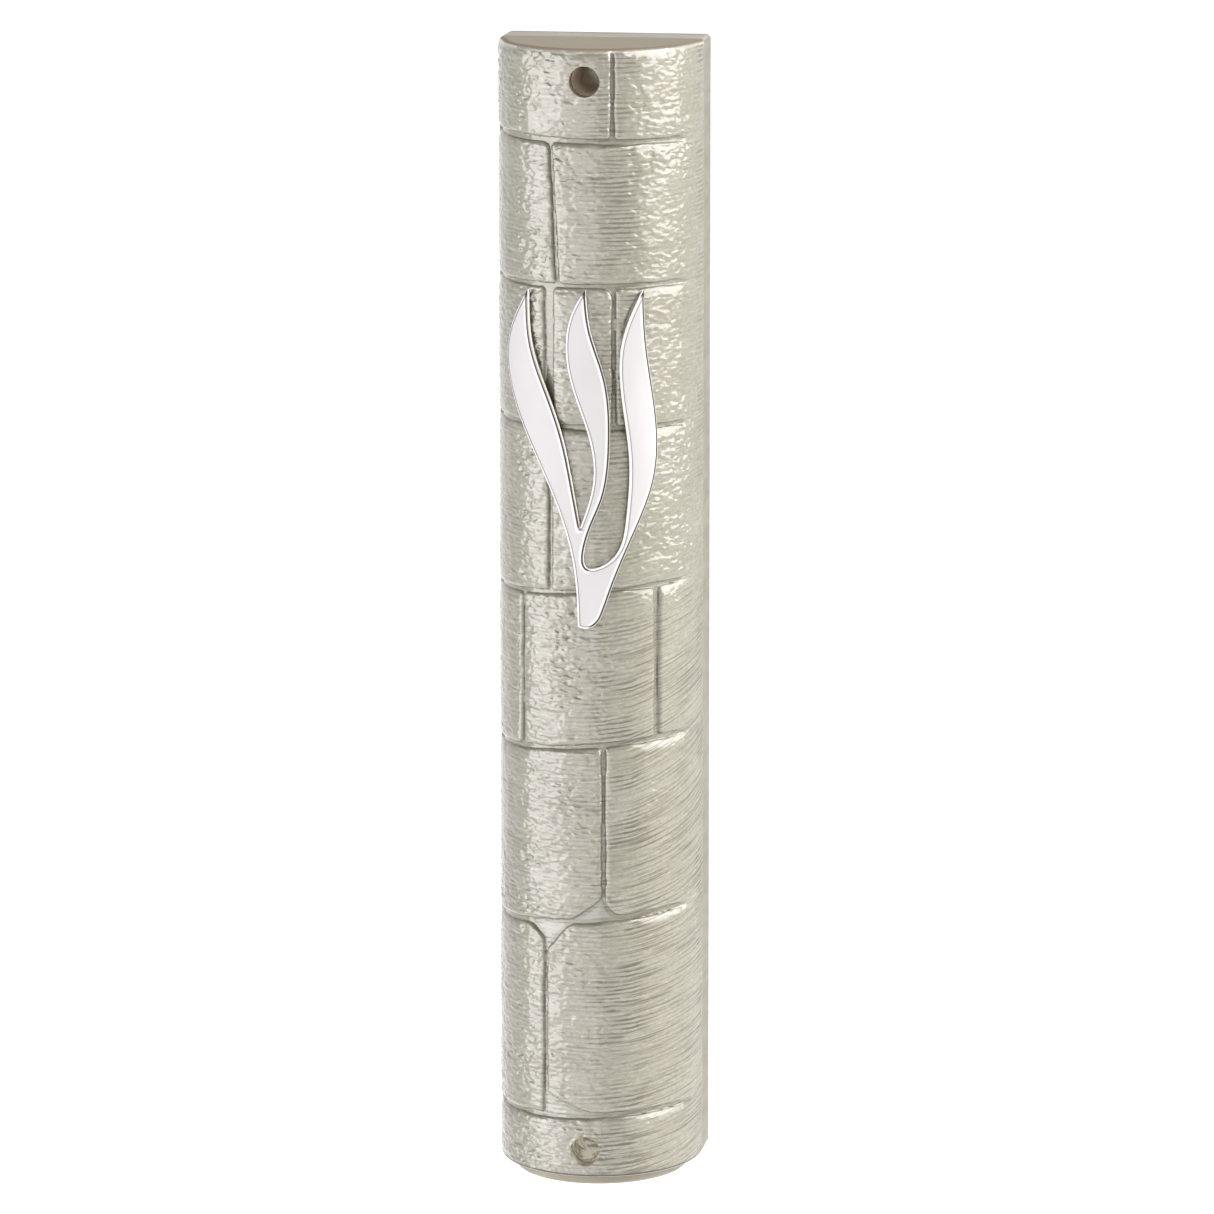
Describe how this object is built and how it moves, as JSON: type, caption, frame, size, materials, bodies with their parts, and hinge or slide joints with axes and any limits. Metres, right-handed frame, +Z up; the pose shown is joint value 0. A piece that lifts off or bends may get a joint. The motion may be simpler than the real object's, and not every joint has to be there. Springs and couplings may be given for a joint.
{
  "type": "mezuzah case",
  "caption": "Slim D-shaped clear case with a cut stone relief over silver film, a chrome letter, nail holes, a pull-out bottom plug and a rolled parchment.",
  "frame": {"origin": "centre of the flat back face, which lies on the door post, halfway up the shell", "axes": "+Z up the post, -Y out of the front, +X to the right of someone facing the case"},
  "size_m": [0.0216, 0.0179, 0.1201],
  "materials": {
    "front_shell": "clear gloss over silver film",
    "back_housing": "clear tinted gloss",
    "silver_film": "finely lined, pearly silver",
    "top_nail_block": "satin brown",
    "end_plug": "soft satin, beige brown",
    "shin_letter": "mirror chrome plating",
    "letter_glue": "cured clear glue",
    "parchment_roll": "scraped parchment, unlettered",
    "scroll_sleeve": "thin smooth wrapping paper"
  },
  "bodies": {
    "case": {"front_shell": "front_shell", "back_housing": "back_housing", "silver_film": "silver_film", "top_nail_block": "top_nail_block", "shin_letter": "shin_letter", "letter_glue": "letter_glue"},
    "plug": {"end_plug": "end_plug"},
    "scroll": {"parchment_roll": "parchment_roll", "scroll_sleeve": "scroll_sleeve"}
  },
  "joints": [
    {"name": "plug_pull", "type": "slide", "parent": "case", "child": "plug", "axis": [0, 0, -1], "range_m": [0, 0.13]},
    {"name": "scroll_slide", "type": "slide", "parent": "case", "child": "scroll", "axis": [0, 0, -1], "range_m": [0, 0.1105]}
  ],
  "couplings": [
    {"joint": "scroll_slide", "follows": "plug_pull", "ratio": 0.85}
  ]
}
